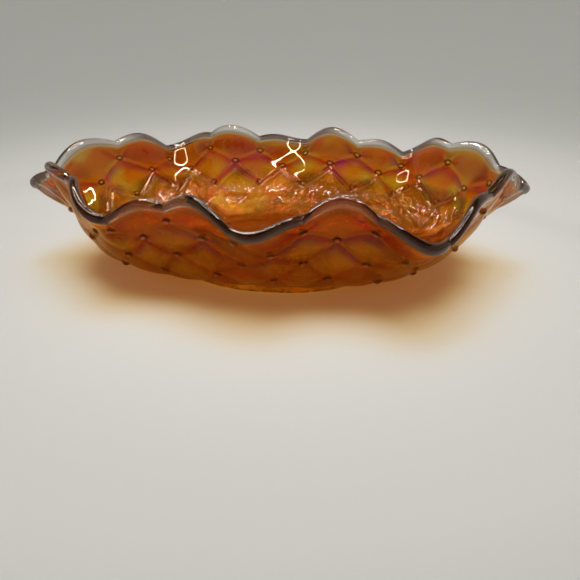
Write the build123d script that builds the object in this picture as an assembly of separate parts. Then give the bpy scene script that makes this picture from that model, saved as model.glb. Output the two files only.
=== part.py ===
from build123d import *
import math
import os
import numpy as np

# An oval, ruffled bowl of pressed glass on a low foot ring. It is one moulding: every solid here is a
# named feature of it. Millimetres and degrees, +Z up. The origin is the middle of the foot ring's
# underside, +X runs along the bowl's length. Turning the bowl half round about Z leaves it the same.
#
# A place round the bowl is counted in ruffles, 0 to 8, counter-clockwise seen from above. The rim's
# crests are near the whole numbers and its dips near the halves, with the +X tip at 2.5.
# A rise is how far up the wall's section a point is, from 0 at the foot to 1 under the rim bead.

# Driving dimensions
RUFFLES = 8
SCALLOPS = 20
TIP_PLACE = 2.5

FOOT_HEIGHT = 5.0
FOOT_HALF = (49.0, 39.0)
FOOT_TAPER = 1.0
FOOT_WIDTH = 4.6
FOOT_EDGE_RADIUS = 0.8
FOOT_SQUARENESS = 2.2

FLOOR_THICKNESS = 4.5
FLOOR_HALF_BELOW = (49.4, 39.4)
FLOOR_HALF_ABOVE = (47.0, 36.0)
FLOOR_TOP = FOOT_HEIGHT + FLOOR_THICKNESS

# The shoulder is the oval where the wall stops bulging and starts to flare.
SHOULDER_HALF = (90.0, 49.5)
SHOULDER_SQUARENESS = 2.75
SHOULDER_HEIGHT = 21.4
SHOULDER_WALL = 4.0

# How far the wall's section reaches out level before it turns up, and how far down it leans on the
# flare, as shares, each with waves round the bowl of the same kind as the flare's.
BELLY_REACH = 0.95
BELLY_WAVES = {2: (0.12, -0.12), 4: (-0.08, -0.04)}
FLARE_HANDLE = 1.05
HANDLE_WAVES = {2: (-0.09, -0.12)}

# From the shoulder the wall flares out to the rim at an angle above level. The waves are degrees of
# cosine and sine, by how many of them go round the rim: 8 are the ruffles, the others make them uneven
# and the two ends wider. The same kind of waves, in mm, make the flare longer or shorter, and drift it
# along the oval.
FLARE_ANGLE = 57.5
FLARE_WAVES = {
    2: (4, -2), 4: (1, -2), 6: (-5, -3), 8: (16, 3), 10: (1, 1), 12: (-1, 0), 14: (1, -1), 16: (-2, -1), 18: (-1, 1)
}
FLARE_LENGTH = 29.0
LENGTH_WAVES = {2: (-1, 0), 4: (-1, 1), 6: (0, 1), 8: (0, 1.5)}
DRIFT_WAVES = {2: (-4.5, 2), 4: (0, 2), 6: (0, -2), 8: (-1.5, 1)}
SCALLOP_HEIGHT = 4.0

# The rim bead is fattest at the scallops' middles and pinched at the cusps between them.
BEAD_RADIUS = 2.6
BEAD_PINCH = 0.5
NECK_HALF_WIDTH = 2.1

# The quilting: four rows of buttons, the odd ones under the scallops' cusps and the even ones under
# their middles, with thin raised lines from each button to its two neighbours in the next row.
BUTTON_RISES = (0.93, 0.79, 0.63, 0.40)
BUTTON_RADIUS = 1.2
BUTTON_LIFT = 0.1
LINE_FOOT_RISE = 0.12
LINE_HALF_WIDTH = 0.7
LINE_HEIGHT = 0.4
LINE_SUNK = 0.3
LINE_CLEARANCE = 0.8
QUILT_LINES = (
    ("upper", BUTTON_RISES[0], BUTTON_RISES[1]),
    ("middle", BUTTON_RISES[2], BUTTON_RISES[1]),
    ("lower", BUTTON_RISES[2], BUTTON_RISES[3]),
    ("lowest", LINE_FOOT_RISE, BUTTON_RISES[3]),
)

# Inside, the smooth panels end in a raised zigzag border, with peaks between the cusps.
BORDER_CUSP_RISE = 0.53
BORDER_MIDDLE_RISE = 0.70

# The flower decoration below the border and on the floor is a generic garland. Each list holds half of
# it, and the other half is the same turned half round. On the wall a piece has a place and a rise, on
# the floor it has x and y, and its turn is in degrees, on the wall from level.
PETALS = 6
PETAL_SIZE = (3.6, 2.1, 1.2)
PETAL_RADIUS = 5.2
HEART_SIZE = (1.9, 1.9, 1.7)
WALL_BLOSSOMS = ((3.39, 0.38), (4.44, 0.33), (4.86, 0.34))
FLOOR_BLOSSOM = (24.0, 4.0)
LEAF_SIZE = (7.0, 2.6, 1.0)
WALL_LEAVES = ((2.75, 0.42, 80), (3.00, 0.40, 60), (3.75, 0.34, -30), (4.08, 0.34, 30), (5.25, 0.36, -25))
FLOOR_LEAVES = ((37.5, 6.0, 10.0), (34.0, -13.0, -50.0), (6.0, 15.0, 60.0), (9.0, -14.0, 120.0))
STEM_RADIUS = 0.8
STEM_POINTS = ((12.0, 3.0), (6.0, 6.0), (3.0, 3.5), (1.5, 1.0))
OVAL_POINTS = 64

# How finely the ovals and the curves round the bowl are worked out, and the distances, in places or
# rises, over which a direction is measured.
LENGTH_STEPS = 4000
EDGE_STEPS = 6
SKIN_RISES = (0.0, 0.15, 0.3, 0.45, 0.6, 0.75, 0.88, 1.0)
BEAD_ANGLES = (-90, -45, 0, 45, 90)
OVAL_STEP = 0.02
SKIN_STEP = 0.01


def waves(table, place):
    """Sum of a table's waves at a place."""
    turn = 2 * math.pi * place / RUFFLES
    return sum(c * math.cos(n * turn) + s * math.sin(n * turn) for n, (c, s) in table.items())


def oval_table(half, squareness):
    """Points of a squarish oval, with the length along it up to each."""
    angles = np.linspace(0, 2 * math.pi, LENGTH_STEPS + 1)
    cosines, sines = np.cos(angles), np.sin(angles)
    x = half[0] * np.sign(cosines) * np.abs(cosines) ** (2 / squareness)
    y = half[1] * np.sign(sines) * np.abs(sines) ** (2 / squareness)
    lengths = np.concatenate([[0], np.cumsum(np.hypot(np.diff(x), np.diff(y)))])
    return x, y, lengths


SHOULDER = oval_table(SHOULDER_HALF, SHOULDER_SQUARENESS)
FOOT = oval_table(FOOT_HALF, FOOT_SQUARENESS)


def on_oval(table, place, drift=0.0, height=0.0):
    """The point of an oval at a place, by length along it, moved on by a drift."""
    x, y, lengths = table
    length = ((place - TIP_PLACE) / RUFFLES * lengths[-1] + drift) % lengths[-1]
    return np.array([np.interp(length, lengths, x), np.interp(length, lengths, y), height])


def outward(table, place, drift=0.0):
    """The level direction out of an oval at a place."""
    along = on_oval(table, place + OVAL_STEP, drift) - on_oval(table, place - OVAL_STEP, drift)
    normal = np.array([along[1], -along[0], 0.0])
    return normal / np.linalg.norm(normal)


def scallop_share(place):
    """0 at the cusps between the scallops, 1 at the scallops' middles."""
    return abs(math.sin(math.pi * place * SCALLOPS / RUFFLES))


def bead_radius(place):
    return BEAD_RADIUS - BEAD_PINCH * (1 - scallop_share(place))


def rim_frame(place):
    """The shoulder point, the way out, the way up the flare, the way into the bowl, and the length."""
    drift = waves(DRIFT_WAVES, place)
    angle = math.radians(FLARE_ANGLE + waves(FLARE_WAVES, place))
    out = outward(SHOULDER, place, drift)
    up = np.array([0.0, 0.0, 1.0])
    flare = out * math.cos(angle) + up * math.sin(angle)
    inward = up * math.cos(angle) - out * math.sin(angle)
    length = FLARE_LENGTH + waves(LENGTH_WAVES, place) + SCALLOP_HEIGHT * scallop_share(place)
    return on_oval(SHOULDER, place, drift, SHOULDER_HEIGHT), out, flare, inward, length


def bead_point(place, angle):
    """A point of the rim bead's round section: -90 is outside it, 0 its crown and 90 inside."""
    shoulder, _, flare, inward, length = rim_frame(place)
    radius = bead_radius(place)
    centre = shoulder + flare * (length - radius)
    a = math.radians(angle)
    return centre + radius * (flare * math.cos(a) + inward * math.sin(a))


NECK_ANGLE = 180 - math.degrees(math.asin(NECK_HALF_WIDTH / BEAD_RADIUS))
FLOOR_BELOW = oval_table(FLOOR_HALF_BELOW, FOOT_SQUARENESS)
FLOOR_ABOVE = oval_table(FLOOR_HALF_ABOVE, FOOT_SQUARENESS)


def skin_point(place, rise, inside=False):
    """A point of the wall's outer or inner skin: a Bezier section from the floor up to the neck."""
    shoulder, out, flare, _, length = rim_frame(place)
    if inside:
        low = on_oval(FLOOR_ABOVE, place, height=FLOOR_TOP)
        belly_oval = shoulder - out * SHOULDER_WALL
        neck = bead_point(place, NECK_ANGLE)
    else:
        low = on_oval(FLOOR_BELOW, place, height=FOOT_HEIGHT)
        belly_oval = shoulder
        neck = bead_point(place, -NECK_ANGLE)
    belly = low + (belly_oval - low) * (BELLY_REACH + waves(BELLY_WAVES, place))
    belly[2] = low[2]
    straight = length - 2 * bead_radius(place)
    handle = neck - flare * straight * (FLARE_HANDLE + waves(HANDLE_WAVES, place))
    left = 1 - rise
    return left**3 * low + 3 * rise * left**2 * belly + 3 * rise**2 * left * handle + rise**3 * neck


def skin_frame(place, rise, inside=False):
    """A skin's point with the directions level along it, up it and straight out of the glass."""
    along = skin_point(place + SKIN_STEP, rise, inside) - skin_point(place - SKIN_STEP, rise, inside)
    upward = skin_point(place, rise + SKIN_STEP, inside) - skin_point(place, rise - SKIN_STEP, inside)
    along /= np.linalg.norm(along)
    normal = np.cross(along, upward) * (-1 if inside else 1)
    normal /= np.linalg.norm(normal)
    return skin_point(place, rise, inside), along, upward / np.linalg.norm(upward), normal


def closed_wire(point_at, edges):
    """A closed wire round the bowl, of so many splines that meet at corners."""
    splines = []
    for edge in range(edges):
        places = [(edge + step / EDGE_STEPS) * RUFFLES / edges for step in range(EDGE_STEPS + 1)]
        splines.append(Edge.make_spline([Vector(*point_at(place)) for place in places]))
    return Wire(splines)


def band(wires, ruled=False):
    """The faces of the surface through a list of wires."""
    return Shell.make_loft(wires, ruled=ruled).faces()


def closed_solid(faces):
    """The solid inside a closed set of faces."""
    solid = Solid(Shell(faces))
    return solid if solid.volume > 0 else Solid(-Shell(faces))


def skin_wires(inside):
    return [closed_wire(lambda p, r=rise: skin_point(p, r, inside), SCALLOPS) for rise in SKIN_RISES]


def make_wall(outer, inner):
    seat = band([outer[0], inner[0]], ruled=True)
    top = band([outer[-1], inner[-1]], ruled=True)
    return closed_solid(band(outer) + band(inner) + seat + top)


def make_bead(outer, inner):
    crown = [closed_wire(lambda p, a=angle: bead_point(p, a), SCALLOPS) for angle in BEAD_ANGLES]
    top = band([outer[-1], inner[-1]], ruled=True)
    return closed_solid(band([outer[-1], *crown, inner[-1]]) + top)


def oval_wire(half, height):
    """A smooth level oval of the foot's shape."""
    table = oval_table(half, FOOT_SQUARENESS)
    places = [RUFFLES * point / OVAL_POINTS for point in range(OVAL_POINTS)]
    points = [Vector(*on_oval(table, place, height=height)) for place in places]
    return Wire([Edge.make_spline(points, periodic=True)])


def make_foot():
    """A tapered oval ring, with the two edges that it stands on rounded."""
    lip_half = [half - FOOT_TAPER for half in FOOT_HALF]
    hole_half = [half - FOOT_WIDTH for half in FOOT_HALF]
    outside = Solid.make_loft([oval_wire(lip_half, 0), oval_wire(FOOT_HALF, FOOT_HEIGHT)], ruled=True)
    hole = Solid.extrude(Face(oval_wire(hole_half, 0)), Vector(0, 0, FOOT_HEIGHT))
    ring = outside - hole
    standing_edges = ring.edges().group_by(Axis.Z)[0]
    return fillet(standing_edges, FOOT_EDGE_RADIUS)


def make_buttons(row):
    """The row's buttons: small balls let into the outer skin, one to each scallop."""
    shift = 0 if row % 2 == 0 else 0.5
    buttons = []
    for scallop in range(SCALLOPS):
        place = (scallop + shift) * RUFFLES / SCALLOPS
        point, _, _, normal = skin_frame(place, BUTTON_RISES[row])
        centre = point + BUTTON_LIFT * normal
        buttons.append(Solid.make_sphere(BUTTON_RADIUS).moved(Location(Vector(*centre))))
    return buttons


def zigzag_point(place, cusp_rise, middle_rise, inside, up_mm, out_mm):
    """A point of a zigzag that is at one rise under the cusps and at the other between them."""
    cusp_share = abs((place * SCALLOPS / RUFFLES) % 1 - 0.5) * 2
    rise = middle_rise + (cusp_rise - middle_rise) * cusp_share
    point, _, upward, normal = skin_frame(place, rise, inside)
    apart = LINE_CLEARANCE * (1 - 2 * cusp_share) * math.copysign(1, cusp_rise - middle_rise)
    return point + upward * (up_mm + apart) + normal * out_mm


def make_lines(cusp_rise, middle_rise, inside=False):
    """A zigzag ridge of three sides right round the bowl, let into a skin."""
    sides = ((LINE_HALF_WIDTH, -LINE_SUNK), (0, LINE_HEIGHT), (-LINE_HALF_WIDTH, -LINE_SUNK))
    upper, crest, lower = [
        closed_wire(lambda p, s=side: zigzag_point(p, cusp_rise, middle_rise, inside, *s), 2 * SCALLOPS)
        for side in sides
    ]
    pairs = ((upper, crest), (crest, lower), (lower, upper))
    return closed_solid([face for pair in pairs for face in band(pair, ruled=True)])


def egg(size):
    return scale(Solid.make_sphere(1), by=size)


def floor_dome(size, x, y, turn=0.0):
    """The upper half of an egg shape, lying on the floor, turned about Z."""
    room = 4 * max(size)
    above = Solid.make_box(room, room, room).moved(Location((-room / 2, -room / 2, 0)))
    return (egg(size) & above).solids()[0].moved(Location((x, y, FLOOR_TOP), (0, 0, turn)))


def wall_dome(size, place, rise, turn=0.0, reach=0.0):
    """An egg shape half let into the inner skin, turned from level, moved so far the way it points."""
    point, along, _, normal = skin_frame(place, rise, inside=True)
    level = Plane(origin=Vector(*point), x_dir=Vector(*along), z_dir=Vector(*normal))
    return level.location * Rot(0, 0, turn) * Pos(reach, 0, 0) * egg(size)


def half_turned(solids):
    """The solids and the same ones turned half round the bowl."""
    return solids + [solid.moved(Location((0, 0, 0), (0, 0, 180))) for solid in solids]


def make_blossoms():
    """Petals round a heart: one blossom on the floor and several on the wall."""
    x, y = FLOOR_BLOSSOM
    solids = [floor_dome(HEART_SIZE, x, y)]
    for petal in range(PETALS):
        turn = 360 * petal / PETALS
        reach = Vector(PETAL_RADIUS, 0, 0).rotate(Axis.Z, turn)
        solids.append(floor_dome(PETAL_SIZE, x + reach.X, y + reach.Y, turn))
    for place, rise in WALL_BLOSSOMS:
        solids.append(wall_dome(HEART_SIZE, place, rise))
        for petal in range(PETALS):
            solids.append(wall_dome(PETAL_SIZE, place, rise, 360 * petal / PETALS, PETAL_RADIUS))
    return half_turned(solids)


def make_leaves():
    floor_leaves = [floor_dome(LEAF_SIZE, *leaf) for leaf in FLOOR_LEAVES]
    wall_leaves = [wall_dome(LEAF_SIZE, *leaf) for leaf in WALL_LEAVES]
    return half_turned(floor_leaves + wall_leaves)


def make_stems():
    """A half-round bar along a curved line on the floor."""
    path = Edge.make_spline([Vector(x, y, FLOOR_TOP) for x, y in STEM_POINTS])
    across = Plane(origin=path @ 0, z_dir=path % 0, x_dir=(0, 0, 1))
    upper_half = Pos(X=STEM_RADIUS) * Rectangle(2 * STEM_RADIUS, 2 * STEM_RADIUS)
    return half_turned(sweep(across * (Circle(STEM_RADIUS) & upper_half), path=path).solids())


def save(name, solids):
    shape = solids[0] if len(solids) == 1 else Compound(children=solids)
    export_step(shape, f"parts/{name}.step")


os.makedirs("parts", exist_ok=True)
outer_wires = skin_wires(inside=False)
inner_wires = skin_wires(inside=True)
save("bowl_wall", [make_wall(outer_wires, inner_wires)])
save("bowl_floor", [Solid.make_loft([outer_wires[0], inner_wires[0]], ruled=True)])
save("rim_bead", [make_bead(outer_wires, inner_wires)])
save("foot_ring", [make_foot()])
for row in range(len(BUTTON_RISES)):
    save(f"quilt_buttons_row_{row + 1}", make_buttons(row))
for name, cusp_rise, middle_rise in QUILT_LINES:
    save(f"quilt_lines_{name}", [make_lines(cusp_rise, middle_rise)])
save("panel_border", [make_lines(BORDER_CUSP_RISE, BORDER_MIDDLE_RISE, inside=True)])
save("garland_blossoms", make_blossoms())
save("garland_leaves", make_leaves())
save("garland_stems", make_stems())
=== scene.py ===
import math

import bpy
import numpy as np
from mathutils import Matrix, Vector


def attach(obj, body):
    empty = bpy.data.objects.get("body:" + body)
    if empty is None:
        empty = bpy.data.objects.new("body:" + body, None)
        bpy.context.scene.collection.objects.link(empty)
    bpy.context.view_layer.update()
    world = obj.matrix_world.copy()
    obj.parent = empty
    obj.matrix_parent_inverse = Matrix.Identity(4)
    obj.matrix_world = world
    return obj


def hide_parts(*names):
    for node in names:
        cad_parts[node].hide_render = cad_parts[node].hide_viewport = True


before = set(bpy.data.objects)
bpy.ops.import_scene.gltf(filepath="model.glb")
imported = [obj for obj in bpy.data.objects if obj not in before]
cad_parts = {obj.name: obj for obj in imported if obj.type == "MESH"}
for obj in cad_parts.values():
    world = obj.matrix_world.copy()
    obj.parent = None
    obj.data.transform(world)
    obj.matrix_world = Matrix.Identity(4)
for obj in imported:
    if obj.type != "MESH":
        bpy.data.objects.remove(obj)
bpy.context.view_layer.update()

# An oval, ruffled bowl of pressed carnival glass, made as one closed skin of glass round the bowl.
# The shape is worked out in millimetres from the same driving dimensions as the CAD. A place round
# the bowl is counted in ruffles, 0 to 8, counter-clockwise seen from above, with the +X tip at 2.5.
# A rise goes up a wall's section, from 0 at the foot to 1 under the rim bead.

MM = 0.001
RUFFLES = 8
SCALLOPS = 20
TIP_PLACE = 2.5

FOOT_HALF = np.array((49.0, 39.0))
FOOT_TAPER = 1.0
FOOT_WIDTH = 4.6
FOOT_EDGE_RADIUS = 0.8
FOOT_SQUARENESS = 2.2
FOOT_HEIGHT = 5.0
# heights up the foot ring's outside, and the inset and height of each step up its inside
FOOT_OUTSIDE_HEIGHTS = (4.75, 2.6, 1.6)
FOOT_INSIDE_STEPS = ((0.0, 2.0), (0.0, 3.2), (0.3, 3.8), (0.8, FOOT_HEIGHT))
FLOOR_TOP = 9.5
FLOOR_HALF_BELOW = np.array((49.4, 39.4))
FLOOR_HALF_ABOVE = np.array((47.0, 36.0))

SHOULDER_HALF = np.array((90.0, 49.5))
SHOULDER_SQUARENESS = 2.75
SHOULDER_HEIGHT = 21.4
SHOULDER_WALL = 4.0
BELLY_REACH = 0.95
BELLY_WAVES = {2: (0.12, -0.12), 4: (-0.08, -0.04)}
FLARE_HANDLE = 1.05
HANDLE_WAVES = {2: (-0.09, -0.12)}

FLARE_ANGLE = 57.5
FLARE_WAVES = {
    2: (4, -2), 4: (1, -2), 6: (-5, -3), 8: (16, 3), 10: (1, 1),
    12: (-1, 0), 14: (1, -1), 16: (-2, -1), 18: (-1, 1),
}
FLARE_LENGTH = 29.0
LENGTH_WAVES = {2: (-1, 0), 4: (-1, 1), 6: (0, 1), 8: (0, 1.5)}
DRIFT_WAVES = {2: (-4.5, 2), 4: (0, 2), 6: (0, -2), 8: (-1.5, 1)}
SCALLOP_HEIGHT = 4.0

BEAD_RADIUS = 2.6
BEAD_PINCH = 0.5
NECK_HALF_WIDTH = 2.1

BUTTON_RISES = (0.93, 0.79, 0.63, 0.40)
LINE_FOOT_RISE = 0.12
BORDER_CUSP_RISE = 0.53
BORDER_MIDDLE_RISE = 0.70

COLUMNS_PER_HALF_SCALLOP = 22
OUTER_RINGS = 150
INNER_RINGS = 150
BEAD_RINGS = 20
FLOOR_RINGS = 90
UNDER_RINGS = 16


# ---------------------------------------------------------------- the bowl's shape

def waves(table, places):
    turn = 2 * math.pi * places / RUFFLES
    return sum(c * np.cos(n * turn) + s * np.sin(n * turn) for n, (c, s) in table.items())


def oval_table(half, squareness, steps=4000):
    """Points of a squarish oval, with the length along it up to each."""
    angles = np.linspace(0, 2 * math.pi, steps + 1)
    cosines, sines = np.cos(angles), np.sin(angles)
    x = half[0] * np.sign(cosines) * np.abs(cosines) ** (2 / squareness)
    y = half[1] * np.sign(sines) * np.abs(sines) ** (2 / squareness)
    lengths = np.concatenate([[0], np.cumsum(np.hypot(np.diff(x), np.diff(y)))])
    return x, y, lengths


SHOULDER = oval_table(SHOULDER_HALF, SHOULDER_SQUARENESS)
FLOOR_BELOW = oval_table(FLOOR_HALF_BELOW, FOOT_SQUARENESS)
FLOOR_ABOVE = oval_table(FLOOR_HALF_ABOVE, FOOT_SQUARENESS)


def on_oval(table, places, drift=0.0, height=0.0):
    """The points of an oval at places, by length along it, moved on by a drift."""
    x, y, lengths = table
    length = ((places - TIP_PLACE) / RUFFLES * lengths[-1] + drift) % lengths[-1]
    along_x = np.interp(length, lengths, x)
    along_y = np.interp(length, lengths, y)
    return np.stack([along_x, along_y, 0 * length + height], -1)


def unit(vectors):
    return vectors / np.maximum(np.linalg.norm(vectors, axis=-1, keepdims=True), 1e-9)


class Rim:
    """What the sections need at each place: the shoulder, the flare and the bead's centre."""

    def __init__(self, places):
        step = 0.02
        drift = waves(DRIFT_WAVES, places)
        along = on_oval(SHOULDER, places + step, drift) - on_oval(SHOULDER, places - step, drift)
        up = np.array([0.0, 0.0, 1.0])
        angle = np.radians(FLARE_ANGLE + waves(FLARE_WAVES, places))[..., None]
        self.out = unit(np.stack([along[..., 1], -along[..., 0], 0 * places], -1))
        self.flare = self.out * np.cos(angle) + up * np.sin(angle)
        self.inward = up * np.cos(angle) - self.out * np.sin(angle)
        self.shoulder = on_oval(SHOULDER, places, drift, SHOULDER_HEIGHT)
        scallop = np.abs(np.sin(math.pi * places * SCALLOPS / RUFFLES))
        self.length = (FLARE_LENGTH + waves(LENGTH_WAVES, places) + SCALLOP_HEIGHT * scallop)[..., None]
        self.radius = (BEAD_RADIUS - BEAD_PINCH * (1 - scallop))[..., None]
        self.centre = self.shoulder + self.flare * (self.length - self.radius)

    def bead(self, angle):
        """The bead's round section: -90 is outside it, 0 its crown and 90 inside."""
        a = math.radians(angle)
        return self.centre + self.radius * (self.flare * math.cos(a) + self.inward * math.sin(a))


CROWN_ANGLE = -25.0
NECK_ANGLE = 180 - math.degrees(math.asin(NECK_HALF_WIDTH / BEAD_RADIUS))


def skin(places, rise, inside=False):
    """Points of the wall's outer or inner skin."""
    rim = Rim(places)
    if inside:
        low = on_oval(FLOOR_ABOVE, places, height=FLOOR_TOP)
        belly_oval = rim.shoulder - rim.out * SHOULDER_WALL
        neck = rim.bead(NECK_ANGLE)
    else:
        low = on_oval(FLOOR_BELOW, places, height=FOOT_HEIGHT)
        belly_oval = rim.shoulder
        neck = rim.bead(-NECK_ANGLE)
    belly = low + (belly_oval - low) * (BELLY_REACH + waves(BELLY_WAVES, places))[..., None]
    belly[..., 2] = low[..., 2]
    share = (FLARE_HANDLE + waves(HANDLE_WAVES, places))[..., None]
    handle = neck - rim.flare * (rim.length - 2 * rim.radius) * share
    rise = np.asarray(rise, float)[..., None]
    left = 1 - rise
    return left**3 * low + 3 * rise * left**2 * belly + 3 * rise**2 * left * handle + rise**3 * neck


def grid_normals(points, flip):
    """Normals of a grid of rings by columns that closes round."""
    along = np.roll(points, -1, 1) - np.roll(points, 1, 1)
    up = np.gradient(points, axis=0)
    return unit(np.cross(along, up)) * (-1 if flip else 1)


def bunched(count, knots, strength=0.5):
    """Numbers from the first knot to the last, closer together at the knots."""
    spans = np.diff(knots)
    shares = np.maximum(1, np.round(count * spans / spans.sum())).astype(int)
    values = []
    for start, span, steps in zip(knots, spans, shares):
        t = np.arange(steps) / steps
        values.append(start + span * (t - strength * np.sin(2 * math.pi * t) / (2 * math.pi)))
    return np.append(np.concatenate(values), knots[-1])


COLUMNS = 2 * SCALLOPS * COLUMNS_PER_HALF_SCALLOP
half_scallops = bunched(COLUMNS, np.arange(2 * SCALLOPS + 1.0))[:-1]
PLACES = half_scallops * RUFFLES / (2 * SCALLOPS)


# ---------------------------------------------------------------- relief

def lattice(places, rises):
    """The quilting's two diagonal counts, whole numbers on its lines, and the row count."""
    rows = np.interp(rises, (LINE_FOOT_RISE,) + BUTTON_RISES[::-1] + (1.10,), (4, 3, 2, 1, 0, -1))
    around = places * SCALLOPS / RUFFLES
    return around + rows / 2, around - rows / 2, rows


def from_whole(values):
    return np.abs(values - np.round(values))


def slope_per_mm(values, points, period=None):
    """How fast a value changes along a grid, per mm."""
    around = np.roll(values, -1, 1) - np.roll(values, 1, 1)
    if period:
        around = (around + period / 2) % period - period / 2
    step_around = np.linalg.norm(np.roll(points, -1, 1) - np.roll(points, 1, 1), axis=-1)
    step_up = np.linalg.norm(np.gradient(points, axis=0), axis=-1)
    upward = np.gradient(values, axis=0)
    return np.hypot(around / np.maximum(step_around, 1e-6), upward / np.maximum(step_up, 1e-6))


def smooth(low, high, values):
    """Values eased from 0 at low to 1 at high."""
    t = np.clip((values - low) / (high - low), 0, 1)
    return t * t * (3 - 2 * t)


def ends_fade(rises, foot, neck):
    """1 over the middle of a wall, falling to 0 at its foot and its neck."""
    return smooth(1.0, neck, rises) * smooth(*foot, rises)


PILLOW_HEIGHT = 1.3
PILLOW_SINK = 0.55
LINE_HEIGHT = 0.45
LINE_HALF_WIDTH = 0.5
BUTTON_RADIUS = 1.4
BUTTON_HEIGHT = 1.3
BUTTON_SINK = 0.3
FAR = 9.0


def outer_relief(places, rises, points):
    """Height of the quilting over the outer skin, and mm to the nearest line, button and upper line."""
    p, q, rows = lattice(places, rises)
    pillow = (np.abs(np.sin(math.pi * p) * np.sin(math.pi * q)) + 1e-9) ** 0.5
    to_p = from_whole(p) / slope_per_mm(p, points, SCALLOPS)
    to_q = from_whole(q) / slope_per_mm(q, points, SCALLOPS)
    to_line = np.minimum(to_p, to_q)
    line = np.exp(-((to_line / LINE_HALF_WIDTH) ** 2))
    to_button = np.hypot(to_p, to_q)
    to_button = np.where((rows > -0.3) & (rows < 3.4), to_button, FAR)
    upper_p = (p % 1) / slope_per_mm(p, points, SCALLOPS)
    upper_q = (-q % 1) / slope_per_mm(q, points, SCALLOPS)
    to_upper = np.minimum(upper_p, upper_q)
    height = PILLOW_HEIGHT * (pillow - PILLOW_SINK) + LINE_HEIGHT * line
    cap = BUTTON_HEIGHT * np.sqrt(np.clip(1 - (to_button / BUTTON_RADIUS) ** 2, 0, 1))
    height = np.maximum(height, np.where(cap > 0, cap - BUTTON_SINK, -FAR))
    height = height * ends_fade(rises, (0.03, 0.20), 0.955)
    return height, np.minimum(to_line, FAR), to_button, np.minimum(to_upper, FAR)


def border_rise(places):
    share = np.abs((places * SCALLOPS / RUFFLES) % 1 - 0.5) * 2
    return BORDER_MIDDLE_RISE + (BORDER_CUSP_RISE - BORDER_MIDDLE_RISE) * share


BORDER_HEIGHT = 0.7
BORDER_HALF_WIDTH = 0.7
SECOND_LINE_HEIGHT = 0.3
SECOND_LINE_AWAY = 2.4
SECOND_LINE_HALF_WIDTH = 0.45
PANEL_HEIGHT = 0.35
PANEL_HOLLOW = 1.0


def border_relief(places, rises, points):
    """The zigzag border's and the panels' height, with masks of the ground below and of the border."""
    above = rises - border_rise(places)
    away = above / slope_per_mm(above, points)
    line = np.exp(-((away / BORDER_HALF_WIDTH) ** 2))
    second = np.exp(-(((away - SECOND_LINE_AWAY) / SECOND_LINE_HALF_WIDTH) ** 2))
    panel = smooth(-0.004, 0.012, above)
    height = BORDER_HEIGHT * line + SECOND_LINE_HEIGHT * second + PANEL_HEIGHT * panel
    return height, 1 - panel, line


def panel_hollow(rows):
    """How deep the smooth panels are hollowed, deepest between the two upper rows of buttons."""
    return PANEL_HOLLOW * (1 + np.cos(math.pi * np.clip(rows - 0.5, -1, 1))) / 2


PETALS = 6
PETAL_SIZE = (3.6, 2.1, 1.2)
PETAL_RADIUS = 5.2
GROOVE_DEPTH = 0.3
GROOVE_HALF_WIDTH = 0.35
HEART_SIZE = (1.9, 1.9, 1.7)
WALL_BLOSSOMS = ((3.39, 0.38), (4.44, 0.33), (4.86, 0.34))
FLOOR_BLOSSOM = (24.0, 4.0)
LEAF_SIZE = (7.0, 2.6, 0.75)
VEIN_SPACING = 1.6
VEIN_SLANT = 0.7
RIB_HEIGHT = 0.3
RIB_HALF_WIDTH = 0.4
WALL_LEAVES = (
    (2.75, 0.42, 80), (3.00, 0.40, 60), (3.75, 0.34, -30), (4.08, 0.34, 30), (5.25, 0.36, -25),
)
FLOOR_LEAVES = ((37.5, 6.0, 10.0), (34.0, -13.0, -50.0), (6.0, 15.0, 60.0), (9.0, -14.0, 120.0))
STEM_RADIUS = 0.8
STEM_POINTS = ((12.0, 3.0), (6.0, 6.0), (3.0, 3.5), (1.5, 1.0))
CURL_TURNS = 1.4
CURL_HEIGHT = 0.6
CURL_SHARPNESS = 0.16
CURL_REACH = 1.25
WALL_CURLS = ((3.62, 0.36, 2.6), (4.62, 0.40, 3.0), (5.05, 0.38, 2.6))
GARLAND_STEP = 0.01
GARLAND_REACH = 14


def dome(x, y, size):
    return size[2] * np.sqrt(np.clip(1 - (x / size[0]) ** 2 - (y / size[1]) ** 2, 0, 1))


def turned(x, y, degrees):
    a = math.radians(degrees)
    return x * math.cos(a) + y * math.sin(a), y * math.cos(a) - x * math.sin(a)


def blossom_height(x, y):
    height = dome(x, y, HEART_SIZE)
    for petal in range(PETALS):
        along, across = turned(x, y, 360 * petal / PETALS)
        groove = 1 - GROOVE_DEPTH * np.exp(-((across / GROOVE_HALF_WIDTH) ** 2))
        height = np.maximum(height, dome(along - PETAL_RADIUS, across, PETAL_SIZE) * groove)
    return height


def leaf_height(x, y, degrees):
    """A leaf with a midrib, side veins and a serrated edge."""
    along, across = turned(x, y, degrees)
    veins = np.cos(2 * math.pi * (along + VEIN_SLANT * np.abs(across)) / VEIN_SPACING)
    edge = across / (1 + 0.10 * veins)
    body = dome(along, edge, LEAF_SIZE) * (1 + 0.18 * veins)
    rib = np.exp(-((across / RIB_HALF_WIDTH) ** 2))
    return body + RIB_HEIGHT * rib * (body > 0)


def curl_height(x, y, radius):
    """A thin ridge that winds in on itself."""
    distance = np.hypot(x, y)
    turn = np.arctan2(y, x) / (2 * math.pi)
    coil = (distance / radius * CURL_TURNS - turn) % 1
    ridge = np.exp(-(((coil - 0.5) / CURL_SHARPNESS) ** 2))
    return CURL_HEIGHT * ridge * (distance < radius * CURL_REACH)


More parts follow.
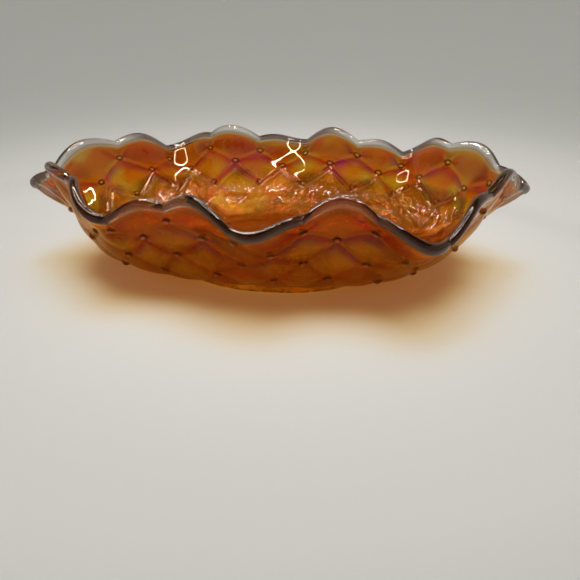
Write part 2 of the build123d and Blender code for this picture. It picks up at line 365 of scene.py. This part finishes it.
def floor_garland(points):
    x, y = points[..., 0], points[..., 1]
    height = np.zeros(x.shape)
    for sign in (1, -1):
        here_x, here_y = sign * x, sign * y
        height = np.maximum(height, blossom_height(here_x - FLOOR_BLOSSOM[0], here_y - FLOOR_BLOSSOM[1]))
        for leaf_x, leaf_y, degrees in FLOOR_LEAVES:
            height = np.maximum(height, leaf_height(here_x - leaf_x, here_y - leaf_y, degrees))
        line = np.array(STEM_POINTS)
        for start, end in zip(line[:-1], line[1:]):
            span = end - start
            from_x, from_y = here_x - start[0], here_y - start[1]
            share = np.clip((from_x * span[0] + from_y * span[1]) / (span @ span), 0, 1)
            away = np.hypot(from_x - share * span[0], from_y - share * span[1])
            stem = STEM_RADIUS * np.sqrt(np.clip(1 - (away / STEM_RADIUS) ** 2, 0, 1))
            height = np.maximum(height, stem)
    return height


def wall_garland(points):
    """Heights of the blossoms, leaves and curls above the inner wall."""
    height = np.zeros(points.shape[:2])

    def at(place, rise):
        return skin(np.array([place]), np.array([rise]), True)[0]

    def add(place, rise, shape):
        for here in (place, place + RUFFLES / 2):
            along = unit(at(here + GARLAND_STEP, rise) - at(here - GARLAND_STEP, rise))
            upward = unit(at(here, rise + GARLAND_STEP) - at(here, rise - GARLAND_STEP))
            away = points - at(here, rise)
            near = np.linalg.norm(away, axis=-1) < GARLAND_REACH
            x, y = (away @ along)[near], (away @ upward)[near]
            height[near] = np.maximum(height[near], shape(x, y))

    for place, rise in WALL_BLOSSOMS:
        add(place, rise, blossom_height)
    for place, rise, degrees in WALL_LEAVES:
        add(place, rise, lambda x, y, d=degrees: leaf_height(x, y, d))
    for place, rise, radius in WALL_CURLS:
        add(place, rise, lambda x, y, r=radius: curl_height(x, y, r))
    return height


# ---------------------------------------------------------------- the glass mesh

def ring_block(points_at, values):
    return np.stack([points_at(value) for value in values])


def floor_top_rings():
    shares = np.linspace(0, 1, FLOOR_RINGS + 1)[1:-1]
    edge = on_oval(FLOOR_ABOVE, PLACES, height=FLOOR_TOP)
    middle = np.array([0.0, 0.0, FLOOR_TOP])
    return ring_block(lambda share: middle + (edge - middle) * share, shares)


def under_rings():
    """The foot ring round to its inside, then the floor's underside to near the middle."""
    steps = []
    lip = FOOT_HALF - FOOT_TAPER
    hole = FOOT_HALF - FOOT_WIDTH
    r = FOOT_EDGE_RADIUS
    for height in FOOT_OUTSIDE_HEIGHTS:
        steps.append((lip + FOOT_TAPER * height / FOOT_HEIGHT, height))
    for turn in (0, 30, 60, 90):
        a = math.radians(turn)
        steps.append((lip - r + r * math.cos(a), r - r * math.sin(a)))
    for turn in (90, 60, 30, 0):
        a = math.radians(turn)
        steps.append((hole + r - r * math.cos(a), r - r * math.sin(a)))
    steps += [(hole - inset, height) for inset, height in FOOT_INSIDE_STEPS]
    last = steps[-1][0]
    for share in np.linspace(1, 0, UNDER_RINGS + 1)[1:-1]:
        steps.append((last * share, FOOT_HEIGHT))
    return np.stack([on_oval(oval_table(half, FOOT_SQUARENESS), PLACES, height=z) for half, z in steps])


def skin_grid(rises, inside):
    """A skin's rings of points, with the place and the rise of each point."""
    points = ring_block(lambda rise: skin(PLACES, np.full(PLACES.shape, rise), inside), rises)
    grid = points.shape[:2]
    return points, np.broadcast_to(PLACES, grid), np.broadcast_to(rises[:, None], grid)


def inner_wall():
    """Rings up the wall's inside, with its relief, and what the materials read there."""
    points, places, rises = skin_grid(np.linspace(0, 1, INNER_RINGS + 1), True)
    height, ground, border = border_relief(places, rises, points)
    height -= panel_hollow(lattice(places, rises)[2])
    height *= ends_fade(rises, (0.0, 0.05), 0.95)
    decor = wall_garland(points)
    rings = points + grid_normals(points, flip=True) * (height + decor)[..., None]
    return rings, {"ground": ground, "border": border, "decor": decor, "rise": rises}


def outer_wall():
    """Rings down the wall's outside, with its relief, and what the materials read there."""
    knots = np.array((0.0, LINE_FOOT_RISE) + BUTTON_RISES[::-1] + (1.0,))
    points, places, rises = skin_grid(bunched(OUTER_RINGS, knots), False)
    height, to_line, to_button, to_upper = outer_relief(places, rises, points)
    rings = points + grid_normals(points, flip=False) * height[..., None]
    readings = {"to_line": to_line, "to_upper": to_upper, "to_button": to_button, "rise": rises}
    return rings[::-1], {name: values[::-1] for name, values in readings.items()}


def closed_mesh(name, rings, top, bottom):
    """A closed mesh through rings of points, with a fan to a middle point at each end."""
    vertices = np.concatenate([rings.reshape(-1, 3), [top, bottom]]) * MM
    middle_top, middle_bottom = len(vertices) - 2, len(vertices) - 1
    column = np.arange(COLUMNS)
    following = (column + 1) % COLUMNS
    first = np.arange(len(rings) - 1)[:, None] * COLUMNS
    second = first + COLUMNS
    quads = np.stack([first + column, second + column, second + following, first + following], -1)
    last = (len(rings) - 1) * COLUMNS
    top_fan = np.stack([np.full(COLUMNS, middle_top), column, following], 1)
    bottom_fan = np.stack([np.full(COLUMNS, middle_bottom), last + following, last + column], 1)
    loops = np.concatenate([quads.ravel(), top_fan.ravel(), bottom_fan.ravel()])
    sizes = np.repeat((4, 3), (quads.size // 4, 2 * COLUMNS))
    starts = np.concatenate([[0], np.cumsum(sizes)[:-1]])

    mesh = bpy.data.meshes.new(name)
    mesh.vertices.add(len(vertices))
    mesh.vertices.foreach_set("co", vertices.astype(np.float32).ravel())
    mesh.loops.add(len(loops))
    mesh.loops.foreach_set("vertex_index", loops.astype(np.int32))
    mesh.polygons.add(len(sizes))
    mesh.polygons.foreach_set("loop_start", starts.astype(np.int32))
    mesh.polygons.foreach_set("loop_total", sizes.astype(np.int32))
    mesh.polygons.foreach_set("use_smooth", np.ones(len(sizes), bool))
    return mesh


def material_numbers(blocks, ground):
    """Each face's material, which is its block's number, or 0 on the ground.

    The ground is the floor, on both its sides, and the wall's inside below the border.
    """
    ring_kind = np.repeat(np.arange(len(blocks)), [len(block) for block in blocks])
    numbers = np.repeat(np.minimum(ring_kind[:-1], ring_kind[1:])[:, None], COLUMNS, 1)
    floor, inner = blocks[:2]
    numbers[len(floor):len(floor) + len(inner) - 1][ground[:-1] > 0.5] = 0
    numbers[-(UNDER_RINGS - 1):] = 0
    return np.concatenate([numbers.ravel(), np.zeros(2 * COLUMNS)])


# mm from the middle to where the glass of the bowl's two ends starts and is full, and degrees from
# the bead's crown to where its painted shade starts and is full
END_STARTS = 96.0
END_FULL = 112.0
CROWN_FADE = (88.0, 50.0)


def build_bowl():
    rim = Rim(PLACES)
    floor = floor_top_rings()
    floor_decor = floor_garland(floor)
    floor[..., 2] += floor_decor
    inner, on_inner = inner_wall()
    outer, on_outer = outer_wall()
    bead_angles = np.linspace(NECK_ANGLE, -NECK_ANGLE, BEAD_RINGS + 1)[1:-1]
    bead = ring_block(rim.bead, bead_angles)
    blocks = [floor, inner, bead, outer, under_rings()]
    mesh = closed_mesh("bowl_glass", np.concatenate(blocks), (0, 0, FLOOR_TOP), (0, 0, FOOT_HEIGHT))

    # what the materials read, one value a vertex, with 0 at the two middle points
    def attribute(name, values_of, otherwise=0.0):
        parts = [np.full(block.shape[:2], otherwise) for block in blocks]
        for number, values in values_of.items():
            parts[number][:] = values
        layer = mesh.attributes.new(name, "FLOAT", "POINT")
        values = np.concatenate([part.ravel() for part in parts] + [np.zeros(2)])
        layer.data.foreach_set("value", values.astype(np.float32))

    attribute("ground", {0: 1, 1: on_inner["ground"]})
    attribute("border", {1: on_inner["border"]})
    attribute("decor", {0: floor_decor, 1: on_inner["decor"]})
    for name in ("to_line", "to_upper", "to_button"):
        attribute(name, {3: on_outer[name]}, FAR)
    attribute("rise", {1: on_inner["rise"], 2: 1, 3: on_outer["rise"]})
    attribute("tilt", dict(enumerate([np.degrees(np.arcsin(rim.flare[..., 2]))] * len(blocks))))
    ends = [smooth(END_STARTS, END_FULL, np.abs(block[..., 0])) for block in blocks]
    attribute("end", dict(enumerate(ends)))
    attribute("crown", {2: smooth(*CROWN_FADE, np.abs(bead_angles - CROWN_ANGLE))[:, None]})

    numbers = material_numbers(blocks, on_inner["ground"])
    mesh.polygons.foreach_set("material_index", numbers.astype(np.int32))
    mesh.update()
    mesh.validate()
    piece = bpy.data.objects.new("bowl_glass", mesh)
    bpy.context.scene.collection.objects.link(piece)
    return piece


# ---------------------------------------------------------------- materials

def new_material(name):
    material = bpy.data.materials.new(name)
    material.use_nodes = True
    tree = material.node_tree
    tree.nodes.clear()
    return material, tree


def noise_between(tree, scale, low, high, seed, detail=2.0):
    """A socket of smooth noise over the object, stretched from 0 at low to 1 at high."""
    place = tree.nodes.new("ShaderNodeTexCoord")
    shift = tree.nodes.new("ShaderNodeVectorMath")
    shift.inputs[1].default_value = (seed, seed * 0.7, seed * 0.3)
    cloud = tree.nodes.new("ShaderNodeTexNoise")
    cloud.inputs["Scale"].default_value = scale
    cloud.inputs["Detail"].default_value = detail
    stretch = tree.nodes.new("ShaderNodeMapRange")
    stretch.inputs["From Min"].default_value = low
    stretch.inputs["From Max"].default_value = high
    tree.links.new(place.outputs["Object"], shift.inputs[0])
    tree.links.new(shift.outputs[0], cloud.inputs["Vector"])
    tree.links.new(cloud.outputs[0], stretch.inputs["Value"])
    return stretch.outputs[0]


def blend(tree, share, first, second):
    """A colour socket between two colours or colour sockets."""
    mix = tree.nodes.new("ShaderNodeMix")
    mix.data_type = "RGBA"
    tree.links.new(share, mix.inputs["Factor"])
    for socket, colour in ((mix.inputs[6], first), (mix.inputs[7], second)):
        if isinstance(colour, tuple):
            socket.default_value = (*colour, 1)
        else:
            tree.links.new(colour, socket)
    return mix.outputs[2]


def attribute_value(tree, name):
    node = tree.nodes.new("ShaderNodeAttribute")
    node.attribute_name = name
    return node.outputs["Fac"]


def ramp_value(tree, value, low, high, first=0.0, second=1.0):
    """A value socket, mapped smoothly from first at low to second at high."""
    node = tree.nodes.new("ShaderNodeMapRange")
    node.interpolation_type = "SMOOTHSTEP"
    for key, number in (("From Min", low), ("From Max", high), ("To Min", first), ("To Max", second)):
        node.inputs[key].default_value = number
    tree.links.new(value, node.inputs["Value"])
    return node.outputs[0]


def combine(tree, operation, first, second):
    """A value socket worked out from two values or value sockets."""
    node = tree.nodes.new("ShaderNodeMath")
    node.operation = operation
    for socket, value in zip(node.inputs, (first, second)):
        if isinstance(value, float):
            socket.default_value = value
        else:
            tree.links.new(value, socket)
    return node.outputs[0]


FILM_IOR = 1.6


class Glass:
    """Lustred glass being put together: one Principled shader that lets lamps through tinted."""

    def __init__(self, name, shadow, tint=(1, 1, 1)):
        self.material, self.tree = new_material(name)
        nodes, links = self.tree.nodes, self.tree.links
        self.shader = nodes.new("ShaderNodeBsdfPrincipled")
        self.shader.inputs["IOR"].default_value = 1.5
        self.shader.inputs["Thin Film IOR"].default_value = FILM_IOR
        self.shader.inputs["Specular Tint"].default_value = (*tint, 1)
        output = nodes.new("ShaderNodeOutputMaterial")
        self.clear = nodes.new("ShaderNodeBsdfTransparent")
        self.clear.inputs["Color"].default_value = (*shadow, 1)
        path = nodes.new("ShaderNodeLightPath")
        mix = nodes.new("ShaderNodeMixShader")
        links.new(path.outputs["Is Shadow Ray"], mix.inputs[0])
        links.new(self.shader.outputs[0], mix.inputs[1])
        links.new(self.clear.outputs[0], mix.inputs[2])
        links.new(mix.outputs[0], output.inputs["Surface"])

    def shadow_between(self, name, low, high, first, second):
        """Let the lamps through in one colour where an attribute is low, in another where it is high."""
        colour = self.blend(self.attribute(name, low, high), first, second)
        self.tree.links.new(colour, self.clear.inputs["Color"])

    def clouds(self, scale, low, high, seed, detail=2.0):
        return noise_between(self.tree, scale, low, high, seed, detail)

    def attribute(self, name, low, high, first=0.0, second=1.0):
        return ramp_value(self.tree, attribute_value(self.tree, name), low, high, first, second)

    def blend(self, share, first, second):
        return blend(self.tree, share, first, second)

    def times(self, first, second):
        return combine(self.tree, "MULTIPLY", first, second)

    def set(self, name, value):
        socket = self.shader.inputs[name]
        if isinstance(value, (int, float)):
            socket.default_value = value
        else:
            self.tree.links.new(value, socket)

    def grazing(self, low, high):
        """A share that grows where the surface turns away from the viewer."""
        weight = self.tree.nodes.new("ShaderNodeLayerWeight")
        return ramp_value(self.tree, weight.outputs["Facing"], low, high)

    def film(self, low, high, scale, seed):
        share = self.clouds(scale, 0.3, 0.7, seed)
        self.set("Thin Film Thickness", ramp_value(self.tree, share, 0, 1, low, high))

    def bump(self, scale, distance, seed, strength=None):
        node = self.tree.nodes.new("ShaderNodeBump")
        node.inputs["Distance"].default_value = distance
        self.tree.links.new(self.clouds(scale, 0.3, 0.7, seed), node.inputs["Height"])
        if strength is not None:
            self.tree.links.new(strength, node.inputs["Strength"])
        self.tree.links.new(node.outputs[0], self.shader.inputs["Normal"])


PALE_ROSE = (0.62, 0.42, 0.33)
LUSTRE = (1.0, 0.42, 0.12)
CLEAR = (0.90, 0.86, 0.80)
# painted shade: the near-black colour given to the bead's crown, standing in for the dark room it
# reflects and refracts
BEAD_SHADE = (0.055, 0.030, 0.028)
SHADOW = (0.56, 0.30, 0.01)
RIM_SHADOW = (0.93, 0.81, 0.62)
FOOT_SHADOW = (0.62, 0.40, 0.05)


def outer_material():
    glass = Glass("outer_lustre", SHADOW, LUSTRE)
    glass.shadow_between("rise", 0.40, 0.92, SHADOW, RIM_SHADOW)
    high = glass.attribute("rise", 0.70, 0.90)
    below = glass.blend(glass.clouds(26, 0.42, 0.62, 5.0), (0.84, 0.30, 0.004), (0.80, 0.54, 0.012))
    above = glass.blend(glass.clouds(30, 0.42, 0.62, 3.0), (0.46, 0.045, 0.002), (0.58, 0.17, 0.003))
    warm = glass.blend(high, below, above)
    # partly lustre colour, partly painted shade: each diamond turns dark red and purple along its upper
    # edges
    upper = glass.times(glass.attribute("to_upper", 6.5, 1.5), glass.clouds(38, 0.38, 0.52, 8.0))
    red = glass.blend(glass.clouds(50, 0.45, 0.58, 2.0), (0.48, 0.016, 0.004), (0.22, 0.008, 0.100))
    red = glass.blend(glass.attribute("rise", 0.52, 0.72), (0.68, 0.14, 0.005), red)
    warm = glass.blend(upper, warm, red)
    warm = glass.blend(glass.attribute("to_line", 1.2, 0.5), warm, (0.54, 0.15, 0.006))
    warm = glass.blend(glass.attribute("to_line", 0.4, 0.2), warm, (0.60, 0.24, 0.02))
    # painted shade and painted highlight: a dark ring round each button's foot and a pale rose spot on
    # its top
    warm = glass.blend(glass.attribute("to_button", 2.1, 1.6), warm, (0.10, 0.015, 0.005))
    warm = glass.blend(glass.attribute("to_button", 1.2, 0.7), warm, (0.75, 0.42, 0.26))
    warm = glass.blend(glass.attribute("rise", 0.95, 0.99), warm, (0.50, 0.20, 0.02))
    sand = glass.times(glass.attribute("rise", 0.80, 0.68), glass.clouds(40, 0.35, 0.55, 9.0))
    grit = glass.times(sand, glass.clouds(1000, 0.50, 0.60, 6.0))
    warm = glass.blend(grit, warm, (0.40, 0.12, 0.004))
    # painted sheen: olive-gold where the wall turns away, standing in for its reflection of the pale
    # floor and backdrop
    warm = glass.blend(glass.grazing(0.45, 0.90), warm, (0.74, 0.44, 0.05))
    neck = glass.attribute("rise", 0.985, 1.0, 0.0, 0.6)
    rose = combine(glass.tree, "MAXIMUM", neck, glass.attribute("end", 0.0, 1.0))
    glass.set("Base Color", glass.blend(rose, warm, PALE_ROSE))
    glass.set("Metallic", 0.1)
    glass.set("Transmission Weight", 0.95)
    glass.set("Roughness", 0.05)
    glass.film(112, 158, 40, 4.0)
    glass.bump(1300, 0.0007, 6.0, sand)
    return glass.material


def inner_material():
    """The smooth panels inside."""
    glass = Glass("inner_lustre", SHADOW, (1.0, 0.80, 0.62))
    glass.shadow_between("rise", 0.40, 0.92, SHADOW, RIM_SHADOW)
    warm = glass.blend(glass.clouds(30, 0.42, 0.62, 1.0), (0.64, 0.072, 0.002), (0.68, 0.15, 0.002))
    warm = glass.blend(glass.clouds(45, 0.54, 0.66, 3.0), warm, (0.60, 0.34, 0.02))
    warm = glass.blend(glass.clouds(38, 0.56, 0.66, 6.0), warm, (0.62, 0.07, 0.05))
    glass.set("Base Color", glass.blend(glass.attribute("rise", 0.98, 1.0), warm, (0.80, 0.56, 0.22)))
    glass.set("Transmission Weight", 0.97)
    glass.set("Roughness", 0.03)
    glass.film(115, 150, 35, 7.0)
    return glass.material


def ground_material():
    """The stippled ground inside, below the zigzag border and on the floor."""
    glass = Glass("stippled_ground", SHADOW, (1.0, 0.40, 0.16))
    warm = glass.blend(glass.clouds(26, 0.40, 0.62, 1.0), (0.78, 0.12, 0.003), (0.82, 0.20, 0.006))
    # painted glints: a pinker band of the stippled ground, dotted with pale metallic specks, stands in
    # for the stipple's sparkle
    glint_band = glass.times(glass.attribute("rise", 0.28, 0.34), glass.attribute("rise", 0.60, 0.52))
    gap = glass.times(glass.attribute("rise", 0.40, 0.42), glass.attribute("rise", 0.47, 0.45))
    glint_band = glass.times(glint_band, combine(glass.tree, "SUBTRACT", 1.0, gap))
    glint_band = glass.times(glint_band, glass.clouds(60, 0.30, 0.50, 2.0))
    glint_specks = glass.times(glint_band, glass.clouds(900, 0.64, 0.67, 4.0, 0.0))
    warm = glass.blend(gap, warm, (0.66, 0.08, 0.006))
    warm = glass.blend(glint_band, warm, (0.84, 0.17, 0.04))
    warm = glass.blend(glint_specks, warm, (1.0, 0.74, 0.60))
    warm = glass.blend(glass.attribute("border", 0.3, 0.9), warm, (0.90, 0.46, 0.10))
    glass.set("Base Color", glass.blend(glass.attribute("decor", 0.3, 1.2), warm, (0.84, 0.34, 0.05)))
    glass.set("Metallic", glass.times(glint_specks, 0.8))
    glass.set("Specular IOR Level", 0.3)
    glass.set("Transmission Weight", 0.95)
    glass.set("Roughness", 0.18)
    glass.film(115, 150, 35, 7.0)
    glass.bump(1300, 0.0002, 1.5)
    return glass.material


def bead_material():
    # painted light: the lamps come through the bead a little brighter than they arrive, a faked caustic
    # round the shadow's edge
    glass = Glass("bead_lustre", (1.10, 1.03, 0.92))
    # painted shade: the bead's crown is darkened towards near-black, most where its flare leans out
    # flattest
    leaning = glass.attribute("tilt", 80, 60, 0.35, 1.0)
    share = glass.times(leaning, attribute_value(glass.tree, "crown"))
    glass.set("Base Color", glass.blend(share, CLEAR, BEAD_SHADE))
    glass.set("Transmission Weight", 1.0)
    glass.set("Roughness", 0.02)
    glass.film(140, 165, 30, 2.0)
    return glass.material


def foot_material():
    glass = Glass("foot_lustre", FOOT_SHADOW, (1.0, 0.80, 0.45))
    warm = glass.blend(glass.clouds(40, 0.4, 0.6, 1.0), (0.98, 0.66, 0.10), (0.95, 0.50, 0.05))
    glass.set("Base Color", warm)
    glass.set("Metallic", glass.times(glass.clouds(350, 0.5, 0.6, 5.0), 0.8))
    glass.set("Transmission Weight", 1.0)
    glass.set("Roughness", 0.10)
    glass.film(115, 130, 30, 2.0)
    glass.bump(600, 0.0006, 3.0)
    return glass.material


def paper_material():
    """Pale paper, lightest under the bowl and greyest about 0.36 m out, before the floor sweeps up:
    painted shade for a dimmer backdrop.
    """
    material, tree = new_material("pale_paper")
    output = tree.nodes.new("ShaderNodeOutputMaterial")
    shader = tree.nodes.new("ShaderNodeBsdfPrincipled")
    place = tree.nodes.new("ShaderNodeTexCoord")
    distance = tree.nodes.new("ShaderNodeVectorMath")
    distance.operation = "LENGTH"
    ramp = tree.nodes.new("ShaderNodeValToRGB")
    ramp.color_ramp.interpolation = "B_SPLINE"
    # painted shade: grey by distance from the middle, darkest about 0.36 m out
    stops = ((0.08, 0.80), (0.15, 0.67), (0.22, 0.66), (0.36, 0.44), (0.55, 0.48), (0.9, 0.52))
    elements = ramp.color_ramp.elements
    while len(elements) < len(stops):
        elements.new(0.5)
    for element, (position, grey) in zip(elements, stops):
        element.position = position
        element.color = (grey, grey * 0.98, grey * 0.91, 1)
    tree.links.new(place.outputs["Object"], distance.inputs[0])
    tree.links.new(distance.outputs["Value"], ramp.inputs["Fac"])
    tree.links.new(ramp.outputs["Color"], shader.inputs["Base Color"])
    shader.inputs["Roughness"].default_value = 0.9
    shader.inputs["Specular IOR Level"].default_value = 0.1
    tree.links.new(shader.outputs[0], output.inputs["Surface"])
    return material


# ---------------------------------------------------------------- stage, lights and camera

def make_stage():
    """A pale floor that sweeps up all round, as a surface of revolution."""
    flat, curve, height = 0.55, 0.5, 0.75
    profile = [(flat * (i + 1) / 6, 0.0) for i in range(6)]
    for i in range(1, 25):
        a = math.radians(90 * i / 24)
        profile.append((flat + curve * math.sin(a), curve * (1 - math.cos(a))))
    profile.append((flat + curve, height))
    sides = 96
    vertices = [(0.0, 0.0, 0.0)]
    for radius, z in profile:
        for side in range(sides):
            a = 2 * math.pi * side / sides
            vertices.append((radius * math.cos(a), radius * math.sin(a), z))
    faces = [(0, 1 + i, 1 + (i + 1) % sides) for i in range(sides)]
    for ring in range(len(profile) - 1):
        a, b = 1 + ring * sides, 1 + (ring + 1) * sides
        for i in range(sides):
            j = (i + 1) % sides
            faces.append((a + i, b + i, b + j, a + j))
    mesh = bpy.data.meshes.new("stage")
    mesh.from_pydata(vertices, [], faces)
    mesh.polygons.foreach_set("use_smooth", [True] * len(mesh.polygons))
    stage = bpy.data.objects.new("stage", mesh)
    bpy.context.scene.collection.objects.link(stage)
    mesh.materials.append(paper_material())


def area_light(name, place, target, size, power):
    data = bpy.data.lights.new(name, "AREA")
    data.shape = "DISK"
    data.size = size
    data.energy = power
    lamp = bpy.data.objects.new(name, data)
    bpy.context.scene.collection.objects.link(lamp)
    lamp.location = place
    lamp.rotation_euler = (Vector(target) - Vector(place)).to_track_quat("-Z", "Y").to_euler()
    lamp.visible_glossy = False
    lamp.visible_transmission = False


def make_ring_light(name, place, halves, width, strength):
    """A glowing level oval hoop, seen only in reflections."""
    ring = bpy.data.meshes.new(name)
    sides, around = 96, 10
    vertices, faces = [], []
    for side in range(sides):
        a = 2 * math.pi * side / sides
        for turn in range(around):
            b = 2 * math.pi * turn / around
            x, y = (half + width * math.cos(b) for half in halves)
            vertices.append((x * math.cos(a), y * math.sin(a), width * math.sin(b)))
    for side in range(sides):
        for turn in range(around):
            a, b = side * around, (side + 1) % sides * around
            c, d = turn, (turn + 1) % around
            faces.append((a + c, b + c, b + d, a + d))
    ring.from_pydata(vertices, [], faces)
    material, tree = new_material(name)
    output = tree.nodes.new("ShaderNodeOutputMaterial")
    glow = tree.nodes.new("ShaderNodeEmission")
    path = tree.nodes.new("ShaderNodeLightPath")
    direct = ramp_value(tree, path.outputs["Diffuse Depth"], 0.0, 1.0, strength, 0.0)
    tree.links.new(direct, glow.inputs["Strength"])
    tree.links.new(glow.outputs[0], output.inputs["Surface"])
    ring.materials.append(material)
    piece = bpy.data.objects.new(name, ring)
    bpy.context.scene.collection.objects.link(piece)
    piece.location = place
    piece.visible_camera = False
    piece.visible_diffuse = False
    piece.visible_transmission = False


def make_world(colour, strength):
    world = bpy.data.worlds.new("studio")
    bpy.context.scene.world = world
    world.use_nodes = True
    background = world.node_tree.nodes["Background"]
    background.inputs["Color"].default_value = (*colour, 1)
    background.inputs["Strength"].default_value = strength


def make_camera():
    data = bpy.data.cameras.new("camera")
    data.lens = 36.66
    data.sensor_width = 36
    camera = bpy.data.objects.new("camera", data)
    bpy.context.scene.collection.objects.link(camera)
    camera.location = (0.0424, -0.2692, 0.1251)
    camera.rotation_euler = Vector((-0.118, 0.877, -0.466)).to_track_quat("-Z", "Y").to_euler()
    data.clip_start = 0.01
    bpy.context.scene.camera = camera


make_camera()
make_stage()
make_world((0.9, 0.95, 1.0), 0.04)
area_light("top_panel", place=(0.0, 0.12, 1.0), target=(0, 0.02, 0), size=0.7, power=9.4)
area_light("small_lamp", place=(0.0, 0.10, 0.75), target=(0, 0, 0), size=0.05, power=0.45)
make_ring_light("ring", place=(-0.02, 0.02, 0.30), halves=(0.14, 0.10), width=0.005, strength=50)
bpy.context.scene.view_settings.view_transform = "Standard"

bowl = build_bowl()
for make_material in (ground_material, inner_material, bead_material, outer_material, foot_material):
    bowl.data.materials.append(make_material())
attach(bowl, "root")
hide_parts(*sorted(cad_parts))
